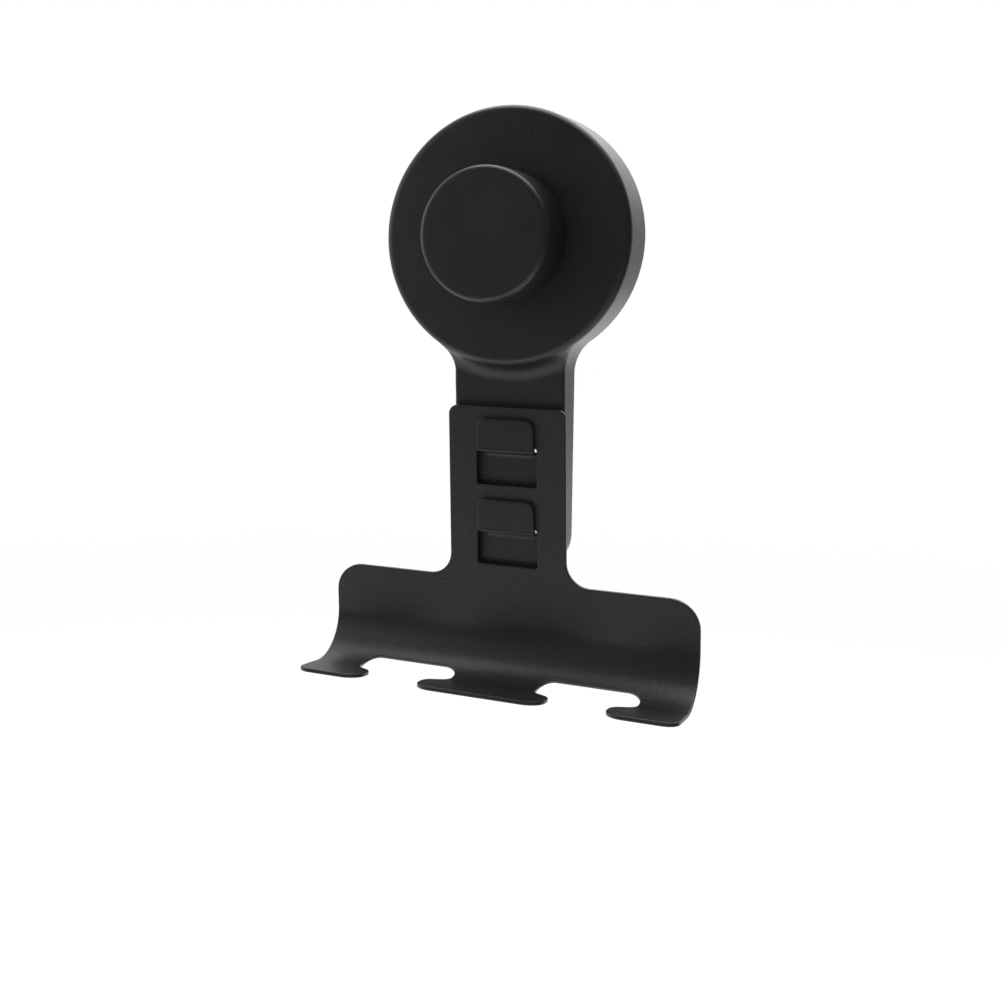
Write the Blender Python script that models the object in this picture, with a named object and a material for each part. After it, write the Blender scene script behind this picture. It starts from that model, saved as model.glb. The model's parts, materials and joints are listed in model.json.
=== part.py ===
"""Wall holder on a twist-lock suction cup.

A knob draws the soft pad taut inside its round housing. The housing's arm has two upward hooks,
and a folded steel plate with two keyhole slots hangs on them.

+X is the viewer's right, -Y points out of the wall towards the viewer, and +Z is up.
The origin is the centre of the pad's wall face. A depth is a distance out of the wall.
"""

import math

import bmesh
import bpy
from mathutils import Matrix, Vector

MM = 0.001

# Gaps between neighbouring pieces
SEAT_GAP = 0.3 * MM
SLIDE_GAP = 0.35 * MM
SHAFT_GAP = 0.4 * MM

# Suction pad
PAD_INSET = 0.7 * MM
PAD_RIM = 1.6 * MM
PAD_WEB = 2.4 * MM
PAD_FLOOR = 1.6 * MM
PAD_LIP = 1.2 * MM
PAD_HUB_WALL = 2.4 * MM
PAD_HUB_RAMP = 1.2 * MM

# Pull plate and its stud
PULL_STROKE = 3.0 * MM
FLANGE_RADIUS = 12.0 * MM
FLANGE_THICKNESS = 1.8 * MM
KEY_SIDE_WALL = 0.9 * MM
KEY_ROUND_WALL = 1.5 * MM
STUD_RADIUS = 4.0 * MM
STUD_CHAMFER = 0.5 * MM
STUD_HEAD_FLATS = 10.0 * MM
STUD_HEAD_THICKNESS = 3.2 * MM

# Housing cup
HOUSING_RADIUS = 37.5 * MM
HOUSING_FRONT = 18.3 * MM
HOUSING_WALL = 2.6 * MM
HOUSING_FACE = 2.5 * MM
HOUSING_EDGE = 2.0 * MM
HOUSING_FOOT_EDGE = 0.5 * MM
HOUSING_INNER_EDGE = 1.0 * MM
GUIDE_WALL = 3.0 * MM
RIB_THICKNESS = 1.6 * MM
RIB_COUNT = 4

# Arm below the housing
ARM_HALF_WIDTH = 17.15 * MM
ARM_TAIL = 11.35 * MM
ARM_BACK = 2.0 * MM
ARM_DEPTH = 11.9 * MM
ARM_WALL = 2.2 * MM
ARM_TOP_WEB = 1.0 * MM
ARM_CORNER = 11.3 * MM
ARM_SIDE_FILLET = 12.0 * MM
ARM_FACE_FILLET = 3.5 * MM
LEAN = math.radians(3.7)

# Hooks on the arm, measured down from the plate's top edge
HOOK_DROP = 3.35 * MM
HOOK_HEIGHT = 10.4 * MM
HOOK_WIDTH = 18.1 * MM
HOOK_TAPER = 0.2 * MM
HOOK_THICKNESS = 1.3 * MM
HOOK_CORNER = 2.6 * MM
HOOK_EDGE = 0.4 * MM
HOOK_PITCH = 24.5 * MM
HOOK_COUNT = 2
ROOT_INSET = 1.5 * MM
ROOT_THICKNESS = 1.35 * MM
ROOT_RISE = 0.1 * MM
ROOT_FILLET = 1.8 * MM
ROOT_BITE = 0.1 * MM

# Hung plate
PLATE_BELOW_CUP = 12.4 * MM
PLATE_GAP = 1.2 * MM
SHEET = 1.2 * MM
NECK_HALF_WIDTH = 18.3 * MM
NECK_CORNER = 2.7 * MM
NECK_FILLET = 7.1 * MM
NECK_TAIL = 4.55 * MM
WIDE_HALF_WIDTH = 57.75 * MM
WIDE_CORNER = 8.8 * MM
WIDE_HEIGHT = 14.5 * MM
BEND_RADIUS = 13.0 * MM
SHELF_RISE = math.radians(6.0)
SHELF_LENGTH = 13.3 * MM
SHELF_CORNER = 4.3 * MM
WINDOW_SIDE_GAP = 0.4 * MM
WINDOW_SPARE_HEIGHT = 1.25 * MM
WINDOW_CORNER = 0.8 * MM

# Keyhole slots, measured back from the plate's front edge
SLOT_OFFSET = 28.3 * MM
MOUTH_WIDTH = 17.6 * MM
LIP_DEPTH = 9.6 * MM
LIP_RAKE = 3.6 * MM
LIP_FRONT_CORNER = 5.6 * MM
LIP_BACK_CORNER = 4.0 * MM
HOLE_WIDTH = 30.2 * MM
HOLE_LENGTH = 8.2 * MM
HOLE_CORNER = 4.4 * MM

# Bumper between the arm's lower end and the wall
BUMPER_WIDTH = 16.0 * MM
BUMPER_HEIGHT = 4.4 * MM
BUMPER_FACE = 0.2 * MM
BUMPER_SEAT = 3.4 * MM
BUMPER_LAND_MARGIN = 1.0 * MM

# Knob with its hub, nut, thrust washer and end stop
KNOB_RADIUS = 19.0 * MM
KNOB_GAP = 0.5 * MM
KNOB_EDGE = 1.5 * MM
KNOB_BACK_EDGE = 0.3 * MM
KNOB_WALL = 1.8 * MM
KNOB_FACE = 2.2 * MM
KNOB_HEADROOM = 0.8 * MM
HUB_FLANGE = 1.8 * MM
HUB_WALL = 2.0 * MM
NUT_FLATS = 13.0 * MM
NUT_HEIGHT = 5.0 * MM
WASHER_RADIUS = 9.9 * MM
WASHER_BORE_GAP = 0.8 * MM
WASHER_THICKNESS = 1.0 * MM
WASHER_RECESS = 0.8 * MM
STOP_WASHER_RADIUS = 6.2 * MM
STOP_WASHER_THICKNESS = 0.8 * MM
STOP_SCREW_RADIUS = 2.0 * MM
STOP_SCREW_LENGTH = 6.0 * MM
STOP_HEAD_RADIUS = 3.8 * MM
STOP_HEAD_HEIGHT = 1.8 * MM
STOP_HEAD_EDGE = 0.45 * MM
STOP_HEX_FLATS = 3.0 * MM
STOP_HEX_DEPTH = 1.1 * MM

# Fineness of round shapes, and how far a cutter runs past the face it cuts
ROUND_STEPS = 72
SMALL_STEPS = 40
ARC_STEPS = 6
BEND_STEPS = 10
SMOOTH_ANGLE = math.radians(35.0)
MERGE = 0.001 * MM
CUT_PAST = 3.0 * MM

# Sizes that follow from the ones above
PAD_RADIUS = HOUSING_RADIUS - PAD_INSET
HOUSING_BACK = PAD_RIM + SEAT_GAP
CAVITY_RADIUS = HOUSING_RADIUS - HOUSING_WALL
CAVITY_FRONT = HOUSING_FRONT - HOUSING_FACE
FLANGE_BACK = PAD_FLOOR + SEAT_GAP
FLANGE_FRONT = FLANGE_BACK + FLANGE_THICKNESS
PAD_POCKET_RADIUS = FLANGE_RADIUS + SEAT_GAP
PAD_HUB_FRONT = FLANGE_FRONT + SEAT_GAP + PAD_LIP
HEAD_POCKET_FLATS = STUD_HEAD_FLATS + 2 * SEAT_GAP
KEY_HALF_FLATS = HEAD_POCKET_FLATS / 2 + KEY_SIDE_WALL
KEY_RADIUS = HEAD_POCKET_FLATS / math.sqrt(3) + KEY_ROUND_WALL
KEY_FRONT = CAVITY_FRONT - PULL_STROKE - SHAFT_GAP
GUIDE_BACK = PAD_HUB_FRONT + PULL_STROKE + SHAFT_GAP
GUIDE_RADIUS = KEY_RADIUS + SLIDE_GAP + GUIDE_WALL
WASHER_BACK = HOUSING_FRONT - WASHER_RECESS + SEAT_GAP
WASHER_FRONT = WASHER_BACK + WASHER_THICKNESS
HUB_BACK = WASHER_FRONT + SEAT_GAP
NUT_BACK = HUB_BACK + HUB_FLANGE + SEAT_GAP
NUT_FRONT = NUT_BACK + NUT_HEIGHT
STUD_END = NUT_FRONT
STOP_WASHER_BACK = STUD_END + SEAT_GAP
STOP_HEAD_BACK = STOP_WASHER_BACK + STOP_WASHER_THICKNESS + SEAT_GAP
STOP_HEAD_FRONT = STOP_HEAD_BACK + STOP_HEAD_HEIGHT
KNOB_FRONT = STOP_HEAD_FRONT + PULL_STROKE + KNOB_HEADROOM + KNOB_FACE
PLATE_DROP = HOUSING_RADIUS + PLATE_BELOW_CUP
LAST_HOOK = (HOOK_COUNT - 1) * HOOK_PITCH
ARM_DROP = PLATE_DROP + HOOK_DROP + HOOK_HEIGHT + LAST_HOOK + ARM_TAIL
HOOK_BACK = PLATE_GAP + SHEET + SEAT_GAP
ROOT_BOTTOM = ROOT_RISE - HOOK_DROP - HOOK_HEIGHT
ROOT_TOP = ROOT_BOTTOM + ROOT_THICKNESS
WINDOW_TOP = ROOT_TOP + SEAT_GAP
WINDOW_WIDTH = HOOK_WIDTH + 2 * WINDOW_SIDE_GAP
WINDOW_HEIGHT = HOOK_HEIGHT + WINDOW_SPARE_HEIGHT
NECK_LENGTH = WINDOW_HEIGHT - WINDOW_TOP + LAST_HOOK + NECK_TAIL
BEND_START = NECK_LENGTH + WIDE_HEIGHT
BEND_ANGLE = math.radians(90.0) + LEAN + SHELF_RISE
BEND_END = BEND_START + BEND_RADIUS * BEND_ANGLE
PLATE_END = BEND_END + SHELF_LENGTH
HOLE_REACH = LIP_DEPTH + LIP_RAKE + HOLE_LENGTH


def material(name, colour, roughness, metallic=0.0):
    made = bpy.data.materials.new(name)
    made.use_nodes = True
    shader = made.node_tree.nodes["Principled BSDF"]
    shader.inputs["Base Color"].default_value = (*colour, 1.0)
    shader.inputs["Roughness"].default_value = roughness
    shader.inputs["Metallic"].default_value = metallic
    return made


def add_object(name, bm, finish=None, parent=None):
    """Turn a bmesh into an object, outward facing and smooth where it is round."""
    bmesh.ops.recalc_face_normals(bm, faces=bm.faces)
    if bm.calc_volume(signed=True) < 0:
        bmesh.ops.reverse_faces(bm, faces=bm.faces)
    mesh = bpy.data.meshes.new(name)
    bm.to_mesh(mesh)
    bm.free()
    mesh.shade_smooth()
    mesh.set_sharp_from_angle(angle=SMOOTH_ANGLE)
    if finish:
        mesh.materials.append(finish)
    made = bpy.data.objects.new(name, mesh)
    made.parent = parent
    bpy.context.scene.collection.objects.link(made)
    return made


def combine(target, tool, operation):
    """Apply tool to target as a Boolean, and keep tool as a hidden guide."""
    step = target.modifiers.new(f"{operation.lower()}_{tool.name}", "BOOLEAN")
    step.operation = operation
    step.object = tool
    tool.hide_render = True
    tool.display_type = "WIRE"


def arc(centre, radius, start, end, steps=ARC_STEPS):
    """Points on a circle from one angle to another, both in radians and included."""
    angles = [start + (end - start) * step / steps for step in range(steps + 1)]
    return [(centre[0] + radius * math.cos(a), centre[1] + radius * math.sin(a)) for a in angles]


def rounded(corners):
    """Outline of a polygon whose corners, each (x, z, radius), are rounded by arcs.

    Where the arcs at both ends of a side don't fit on it, they shrink until they do.
    """
    count = len(corners)
    points = [Vector((x, z)) for x, z, _ in corners]
    sides = [points[(index + 1) % count] - points[index] for index in range(count)]
    halves = [sides[index].angle(-sides[index - 1]) / 2 for index in range(count)]
    setbacks = [radius / math.tan(half) for (_, _, radius), half in zip(corners, halves)]
    shares = [min(1.0, side.length / (setbacks[index] + setbacks[(index + 1) % count]))
              for index, side in enumerate(sides)]
    outline = []
    for index, (point, half) in enumerate(zip(points, halves)):
        setback = setbacks[index] * min(shares[index], shares[index - 1])
        radius = setback * math.tan(half)
        to_last = -sides[index - 1].normalized()
        to_next = sides[index].normalized()
        centre = point + (to_last + to_next).normalized() * (radius / math.sin(half))
        start = point + to_last * setback - centre
        end = point + to_next * setback - centre
        first = math.atan2(start.y, start.x)
        sweep = math.remainder(math.atan2(end.y, end.x) - first, 2 * math.pi)
        outline += arc(centre, radius, first, first + sweep)
    return outline


def rectangle(width, low, high, radius):
    """Rounded rectangle centred on x = 0."""
    half = width / 2
    return rounded([(-half, low, radius), (half, low, radius), (half, high, radius), (-half, high, radius)])


def hexagon(flats):
    """Hexagon with a corner at its top and flats on its left and right."""
    return arc((0.0, 0.0), flats / math.sqrt(3), math.pi / 2, 2.5 * math.pi, 6)[:-1]


def double_d(radius, half_flats):
    """Circle with a flat on its left and right, the key's cross-section."""
    tip = math.acos(half_flats / radius)
    top = arc((0.0, 0.0), radius, tip, math.pi - tip, 2 * ARC_STEPS)
    bottom = arc((0.0, 0.0), radius, math.pi + tip, 2 * math.pi - tip, 2 * ARC_STEPS)
    return top + bottom


def add_loft(bm, loops):
    """Add a closed solid through matching loops of points, capped at both ends."""
    rings = [[bm.verts.new(point) for point in loop] for loop in loops]
    bm.faces.new(rings[0])
    bm.faces.new(rings[-1])
    for low, high in zip(rings, rings[1:]):
        for index, corner in enumerate(low):
            bm.faces.new((low[index - 1], corner, high[index], high[index - 1]))


def at_depth(outline, depth):
    """Points of an (x, z) outline at one depth."""
    return [(x, -depth, z) for x, z in outline]


def prism(name, outline, back, front, finish=None, parent=None):
    """Solid of an (x, z) outline from one depth to another."""
    bm = bmesh.new()
    add_loft(bm, [at_depth(outline, back), at_depth(outline, front)])
    return add_object(name, bm, finish, parent)


def turned(name, profile, finish=None, steps=ROUND_STEPS):
    """Solid of revolution about the knob's axis, from (radius, depth) points.

    A profile that starts off the axis is closed into a ring.
    """
    bm = bmesh.new()
    verts = [bm.verts.new((radius, -depth, 0.0)) for radius, depth in profile]
    edges = [bm.edges.new(pair) for pair in zip(verts, verts[1:])]
    if profile[0][0] > 0:
        edges.append(bm.edges.new((verts[-1], verts[0])))
    bmesh.ops.spin(bm, geom=verts + edges, axis=(0.0, 1.0, 0.0), cent=(0.0, 0.0, 0.0),
                   angle=2 * math.pi, steps=steps, use_merge=True)
    bmesh.ops.remove_doubles(bm, verts=bm.verts, dist=MERGE)
    return add_object(name, bm, finish)


def tube_profile(inner, outer, back, front):
    return [(inner, back), (outer, back), (outer, front), (inner, front)]


def rod(name, radius, back, front, steps=SMALL_STEPS):
    """Plain round bar on the knob's axis."""
    return turned(name, [(0.0, back), (radius, back), (radius, front), (0.0, front)], steps=steps)


def make_pad(finish):
    """Soft disc under the housing's rim, with a pocket that grips the pull plate's flange."""
    web_radius = CAVITY_RADIUS - SLIDE_GAP
    hub_radius = PAD_POCKET_RADIUS + PAD_HUB_WALL
    lip_radius = KEY_RADIUS + SEAT_GAP
    turned("suction_pad", [
        (0.0, 0.0), (PAD_RADIUS, 0.0), (PAD_RADIUS, PAD_RIM), (web_radius, PAD_RIM),
        (web_radius, PAD_WEB), (hub_radius + PAD_HUB_RAMP, PAD_WEB), (hub_radius, PAD_WEB + PAD_HUB_RAMP),
        (hub_radius, PAD_HUB_FRONT), (lip_radius, PAD_HUB_FRONT),
        (lip_radius, FLANGE_FRONT + SEAT_GAP), (PAD_POCKET_RADIUS, FLANGE_FRONT + SEAT_GAP),
        (PAD_POCKET_RADIUS, PAD_FLOOR), (0.0, PAD_FLOOR),
    ], finish)


def make_pull_plate(finish):
    """Flange held by the pad, with a keyed boss that can slide but not turn in the housing."""
    bore = STUD_RADIUS + SEAT_GAP
    plate = turned("pull_plate", tube_profile(bore, FLANGE_RADIUS, FLANGE_BACK, FLANGE_FRONT), finish)
    boss = prism("pull_plate_boss", double_d(KEY_RADIUS, KEY_HALF_FLATS),
                 FLANGE_BACK + FLANGE_THICKNESS / 2, KEY_FRONT)
    combine(plate, boss, "UNION")
    head_front = FLANGE_BACK + STUD_HEAD_THICKNESS + SEAT_GAP
    pocket = prism("pull_plate_pocket", hexagon(HEAD_POCKET_FLATS), FLANGE_BACK - CUT_PAST, head_front)
    combine(plate, pocket, "DIFFERENCE")
    combine(plate, rod("pull_plate_bore", bore, FLANGE_BACK, KEY_FRONT + CUT_PAST), "DIFFERENCE")


def make_stud(finish):
    """Steel screw with its hexagon head caught in the pull plate, tapped for the stop screw."""
    head_front = FLANGE_BACK + STUD_HEAD_THICKNESS
    stud = prism("pull_stud", hexagon(STUD_HEAD_FLATS), FLANGE_BACK, head_front, finish)
    shank_back = head_front - STUD_HEAD_THICKNESS / 2
    shank = turned("pull_stud_shank", [
        (0.0, shank_back), (STUD_RADIUS, shank_back), (STUD_RADIUS, STUD_END - STUD_CHAMFER),
        (STUD_RADIUS - STUD_CHAMFER, STUD_END), (0.0, STUD_END),
    ], steps=SMALL_STEPS)
    combine(stud, shank, "UNION")
    tapping = rod("pull_stud_tapping", STOP_SCREW_RADIUS + SEAT_GAP,
                  STUD_END - STOP_SCREW_LENGTH - SEAT_GAP, STUD_END + CUT_PAST)
    combine(stud, tapping, "DIFFERENCE")


def make_end_stop(finish):
    """Washer and screw on the stud's end that keep the knob from coming off."""
    turned("stop_washer", tube_profile(STOP_SCREW_RADIUS + SEAT_GAP, STOP_WASHER_RADIUS,
                                       STOP_WASHER_BACK, STOP_WASHER_BACK + STOP_WASHER_THICKNESS),
           finish, SMALL_STEPS)
    screw_back = STUD_END - STOP_SCREW_LENGTH
    screw = turned("stop_screw", [
        (0.0, screw_back), (STOP_SCREW_RADIUS, screw_back), (STOP_SCREW_RADIUS, STOP_HEAD_BACK),
        (STOP_HEAD_RADIUS, STOP_HEAD_BACK), (STOP_HEAD_RADIUS, STOP_HEAD_FRONT - STOP_HEAD_EDGE),
        (STOP_HEAD_RADIUS - STOP_HEAD_EDGE, STOP_HEAD_FRONT), (0.0, STOP_HEAD_FRONT),
    ], finish, SMALL_STEPS)
    socket = prism("stop_screw_socket", hexagon(STOP_HEX_FLATS), STOP_HEAD_FRONT - STOP_HEX_DEPTH,
                   STOP_HEAD_FRONT + CUT_PAST)
    combine(screw, socket, "DIFFERENCE")


def make_cup(finish):
    """The housing's round cup: outer wall, face, central guide and washer recess."""
    bore = STUD_RADIUS + SHAFT_GAP
    recess_radius = WASHER_RADIUS + SHAFT_GAP
    front_edge = arc((HOUSING_RADIUS - HOUSING_EDGE, HOUSING_FRONT - HOUSING_EDGE), HOUSING_EDGE,
                     0.0, math.pi / 2)
    inner_edge = arc((CAVITY_RADIUS - HOUSING_INNER_EDGE, CAVITY_FRONT - HOUSING_INNER_EDGE),
                     HOUSING_INNER_EDGE, math.pi / 2, 0.0, ARC_STEPS // 2)
    return turned("housing", [
        (bore, GUIDE_BACK), (GUIDE_RADIUS, GUIDE_BACK), (GUIDE_RADIUS, CAVITY_FRONT), *inner_edge,
        (CAVITY_RADIUS, HOUSING_BACK), (HOUSING_RADIUS - HOUSING_FOOT_EDGE, HOUSING_BACK),
        (HOUSING_RADIUS, HOUSING_BACK + HOUSING_FOOT_EDGE), *front_edge,
        (recess_radius, HOUSING_FRONT), (recess_radius, HOUSING_FRONT - WASHER_RECESS),
        (bore, HOUSING_FRONT - WASHER_RECESS),
    ], finish)


def arm_outline(inset=0.0):
    """Front view of the arm, with the concave fillets that run out onto the round cup."""
    seat_radius = HOUSING_RADIUS - SEAT_GAP
    centre_x = ARM_HALF_WIDTH + ARM_SIDE_FILLET
    centre_z = -math.sqrt((seat_radius + ARM_SIDE_FILLET) ** 2 - centre_x ** 2)
    on_cup = math.atan2(-centre_z, -centre_x)
    right = arc((centre_x, centre_z), ARM_SIDE_FILLET + inset, math.pi, on_cup)
    left = [(-x, z) for x, z in reversed(right)]
    corner_x = ARM_HALF_WIDTH - ARM_CORNER
    corner_z = ARM_CORNER - ARM_DROP
    radius = ARM_CORNER - inset
    lower_left = arc((-corner_x, corner_z), radius, math.pi, 1.5 * math.pi)
    lower_right = arc((corner_x, corner_z), radius, 1.5 * math.pi, 2 * math.pi)
    return left + lower_left + lower_right + right


def make_arm(housing, hang_frame):
    """Arm as an open-backed box whose front face leans back towards its lower end."""
    outline = arm_outline()
    arm = prism("arm_block", outline, ARM_BACK, HOUSING_FRONT)
    reach = 2 * ARM_DROP
    everywhere = [(-reach, -reach), (reach, -reach), (reach, reach), (-reach, reach)]
    combine(arm, prism("arm_front_space", everywhere, 0.0, reach, parent=hang_frame), "DIFFERENCE")
    core_radius = HOUSING_RADIUS - HOUSING_WALL / 2
    core = rod("arm_cup_core", core_radius, ARM_BACK - CUT_PAST, HOUSING_FRONT + CUT_PAST, ROUND_STEPS)
    combine(arm, core, "DIFFERENCE")
    combine(housing, arm, "UNION")

    face_depth = ARM_DEPTH + (PLATE_DROP - HOUSING_RADIUS - ARM_FACE_FILLET) * math.tan(LEAN)
    outer = HOUSING_RADIUS + ARM_FACE_FILLET
    sweep = arc((outer, face_depth + ARM_FACE_FILLET), ARM_FACE_FILLET, 1.5 * math.pi, math.pi)
    fillet = turned("arm_face_fillet", [(core_radius, face_depth - ARM_WALL), (outer, face_depth - ARM_WALL),
                                        *sweep, (core_radius, face_depth + ARM_FACE_FILLET)])
    trim = prism("arm_face_fillet_trim", outline, ARM_BACK, HOUSING_FRONT)
    combine(fillet, trim, "INTERSECT")
    combine(housing, fillet, "UNION")

    top = PLATE_DROP - HOUSING_RADIUS - ARM_TOP_WEB
    bottom = PLATE_DROP - ARM_DROP + ARM_WALL
    half = ARM_HALF_WIDTH - ARM_WALL
    low_corner = ARM_CORNER - ARM_WALL
    pocket_outline = rounded([(-half, bottom, low_corner), (half, bottom, low_corner),
                              (half, top, ARM_WALL), (-half, top, ARM_WALL)])
    pocket = prism("arm_pocket", pocket_outline, -2 * HOUSING_FRONT, -ARM_WALL, parent=hang_frame)
    combine(housing, pocket, "DIFFERENCE")


def root_profile(drop):
    """Side view of a hook's root, (depth, z), with the fillet under it and its foot in the wall."""
    foot = SEAT_GAP - ARM_WALL
    overlap = HOOK_BACK + HOOK_THICKNESS / 2
    top = ROOT_TOP - drop
    bottom = ROOT_BOTTOM - drop
    under = arc((ROOT_FILLET - ROOT_BITE, bottom - ROOT_FILLET), ROOT_FILLET, math.pi / 2, math.pi)
    return [(foot, top), (overlap, top), (overlap, bottom), *under, (foot, bottom - ROOT_FILLET)]


def tongue_outline(drop, inset):
    """Front view of a hook's tongue, drawn in all round by the inset."""
    low = HOOK_WIDTH / 2 - inset
    high = low - HOOK_TAPER
    top = -HOOK_DROP - drop - inset
    bottom = -HOOK_DROP - HOOK_HEIGHT - drop + inset
    low_corner = 2 * HOOK_EDGE - inset
    high_corner = HOOK_CORNER - inset
    return rounded([(-low, bottom, low_corner), (low, bottom, low_corner),
                    (high, top, high_corner), (-high, top, high_corner)])


def make_hook(housing, hang_frame, drop):
    """One upward hook, and the hole behind it that lets the mould form it."""
    hole_outline = rectangle(WINDOW_WIDTH, ROOT_BOTTOM + ROOT_BITE - drop, SEAT_GAP - HOOK_DROP - drop,
                             WINDOW_CORNER)
    hole = prism("hook_hole", hole_outline, -2 * ARM_WALL, ARM_WALL, parent=hang_frame)
    combine(housing, hole, "DIFFERENCE")

    half = HOOK_WIDTH / 2 - ROOT_INSET
    side = root_profile(drop)
    bm = bmesh.new()
    add_loft(bm, [[(x, -depth, z) for depth, z in side] for x in (-half, half)])
    combine(housing, add_object("hook_root", bm, parent=hang_frame), "UNION")

    front = HOOK_BACK + HOOK_THICKNESS
    steps = [(HOOK_BACK, HOOK_EDGE), (HOOK_BACK + HOOK_EDGE, 0.0), (front - HOOK_EDGE, 0.0), (front, HOOK_EDGE)]
    bm = bmesh.new()
    add_loft(bm, [at_depth(tongue_outline(drop, inset), depth) for depth, inset in steps])
    combine(housing, add_object("hook_tongue", bm, parent=hang_frame), "UNION")


def make_housing(finish, hang_frame):
    """Cup, ribs, arm, hooks and bumper seat, moulded as one piece."""
    housing = make_cup(finish)
    ribs = bmesh.new()
    for index in range(RIB_COUNT):
        turn = Matrix.Rotation((index + 0.5) * 2 * math.pi / RIB_COUNT, 4, "Y")
        first = len(ribs.verts)
        half = RIB_THICKNESS / 2
        start = GUIDE_RADIUS - half
        end = CAVITY_RADIUS + half
        outline = [(start, -half), (end, -half), (end, half), (start, half)]
        add_loft(ribs, [at_depth(outline, GUIDE_BACK + half), at_depth(outline, CAVITY_FRONT + half)])
        ribs.verts.ensure_lookup_table()
        bmesh.ops.transform(ribs, matrix=turn, verts=ribs.verts[first:])
    combine(housing, add_object("housing_ribs", ribs), "UNION")
    guide = prism("housing_guide", double_d(KEY_RADIUS + SLIDE_GAP, KEY_HALF_FLATS + SLIDE_GAP),
                  GUIDE_BACK - CUT_PAST, CAVITY_FRONT)
    combine(housing, guide, "DIFFERENCE")

    make_arm(housing, hang_frame)
    for index in range(HOOK_COUNT):
        make_hook(housing, hang_frame, index * HOOK_PITCH)

    land_bottom = ARM_WALL / 2 - ARM_DROP
    land_top = bumper_middle() + BUMPER_HEIGHT / 2 + BUMPER_LAND_MARGIN
    half = BUMPER_WIDTH / 2 + BUMPER_LAND_MARGIN
    land_front = ARM_DEPTH - (ARM_DROP - PLATE_DROP) * math.tan(LEAN) - ARM_WALL / 2
    outline = [(-half, land_bottom), (half, land_bottom), (half, land_top), (-half, land_top)]
    land = prism("bumper_land", outline, BUMPER_SEAT, land_front)
    combine(land, prism("bumper_land_trim", arm_outline(ARM_WALL / 2), ARM_BACK, HOUSING_FRONT), "INTERSECT")
    combine(housing, land, "UNION")


def bumper_middle():
    """Height of the bumper's centre, just above the arm's lower wall."""
    return ARM_WALL + BUMPER_LAND_MARGIN + BUMPER_HEIGHT / 2 - ARM_DROP


def make_bumper(finish):
    """Soft strip that keeps the loaded arm off the wall."""
    middle = bumper_middle()
    radius = BUMPER_HEIGHT / 2 - SEAT_GAP
    prism("wall_bumper", rectangle(BUMPER_WIDTH, middle - BUMPER_HEIGHT / 2, middle + BUMPER_HEIGHT / 2, radius),
          BUMPER_FACE, BUMPER_SEAT - SEAT_GAP, finish)


def make_knob(shell_finish, nut_finish, frame):
    """Cap, hub and nut, which turn together about the stud."""
    back = HOUSING_FRONT + KNOB_GAP
    inner = KNOB_RADIUS - KNOB_WALL
    front_edge = arc((KNOB_RADIUS - KNOB_EDGE, KNOB_FRONT - KNOB_EDGE), KNOB_EDGE, math.pi / 2, 0.0)
    cap = turned("knob_cap", [
        (0.0, KNOB_FRONT), *front_edge, (KNOB_RADIUS, back + KNOB_BACK_EDGE),
        (KNOB_RADIUS - KNOB_BACK_EDGE, back), (inner, back), (inner, KNOB_FRONT - KNOB_FACE),
        (0.0, KNOB_FRONT - KNOB_FACE),
    ], shell_finish)

    bore = STUD_RADIUS + SHAFT_GAP
    pocket_flats = NUT_FLATS + 2 * SEAT_GAP
    tube = pocket_flats / math.sqrt(3) + HUB_WALL
    hub_front = NUT_FRONT - SEAT_GAP
    hub = turned("knob_hub", [
        (bore, HUB_BACK), (inner - SEAT_GAP, HUB_BACK), (inner - SEAT_GAP, HUB_BACK + HUB_FLANGE),
        (tube, HUB_BACK + HUB_FLANGE), (tube, hub_front), (bore, hub_front),
    ], shell_finish, SMALL_STEPS)
    pocket = prism("knob_hub_pocket", hexagon(pocket_flats), HUB_BACK + HUB_FLANGE, NUT_FRONT + CUT_PAST)
    combine(hub, pocket, "DIFFERENCE")

    nut = prism("knob_nut", hexagon(NUT_FLATS), NUT_BACK, NUT_FRONT, nut_finish)
    combine(nut, rod("knob_nut_bore", bore, NUT_BACK - CUT_PAST, NUT_FRONT + CUT_PAST), "DIFFERENCE")
    for piece in (cap, hub, nut):
        piece.parent = frame


def make_thrust_washer(finish):
    turned("thrust_washer", tube_profile(STUD_RADIUS + WASHER_BORE_GAP, WASHER_RADIUS,
                                         WASHER_BACK, WASHER_FRONT), finish, SMALL_STEPS)


def slot_corners(middle):
    """Corners of one keyhole slot across the front edge, walked from right to left."""
    mouth = MOUTH_WIDTH / 2
    hole = HOLE_WIDTH / 2
    walk = [(mouth, 0.0, LIP_FRONT_CORNER), (mouth, LIP_DEPTH, LIP_BACK_CORNER),
            (hole, LIP_DEPTH + LIP_RAKE, HOLE_CORNER), (hole, HOLE_REACH, HOLE_CORNER)]
    mirrored = [(-x, back, radius) for x, back, radius in reversed(walk)]
    return [(middle + x, back - PLATE_END, radius) for x, back, radius in walk + mirrored]


def plate_corners():
    """Corners of the flat blank, (x, z, radius), with the front edge at its lowest z."""
    return [
        (-NECK_HALF_WIDTH, 0.0, NECK_CORNER), (NECK_HALF_WIDTH, 0.0, NECK_CORNER),
        (NECK_HALF_WIDTH, -NECK_LENGTH, NECK_FILLET), (WIDE_HALF_WIDTH, -NECK_LENGTH, WIDE_CORNER),
        (WIDE_HALF_WIDTH, -PLATE_END, SHELF_CORNER),
        *slot_corners(SLOT_OFFSET), *slot_corners(-SLOT_OFFSET),
        (-WIDE_HALF_WIDTH, -PLATE_END, SHELF_CORNER), (-WIDE_HALF_WIDTH, -NECK_LENGTH, WIDE_CORNER),
        (-NECK_HALF_WIDTH, -NECK_LENGTH, NECK_FILLET),
    ]


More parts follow.
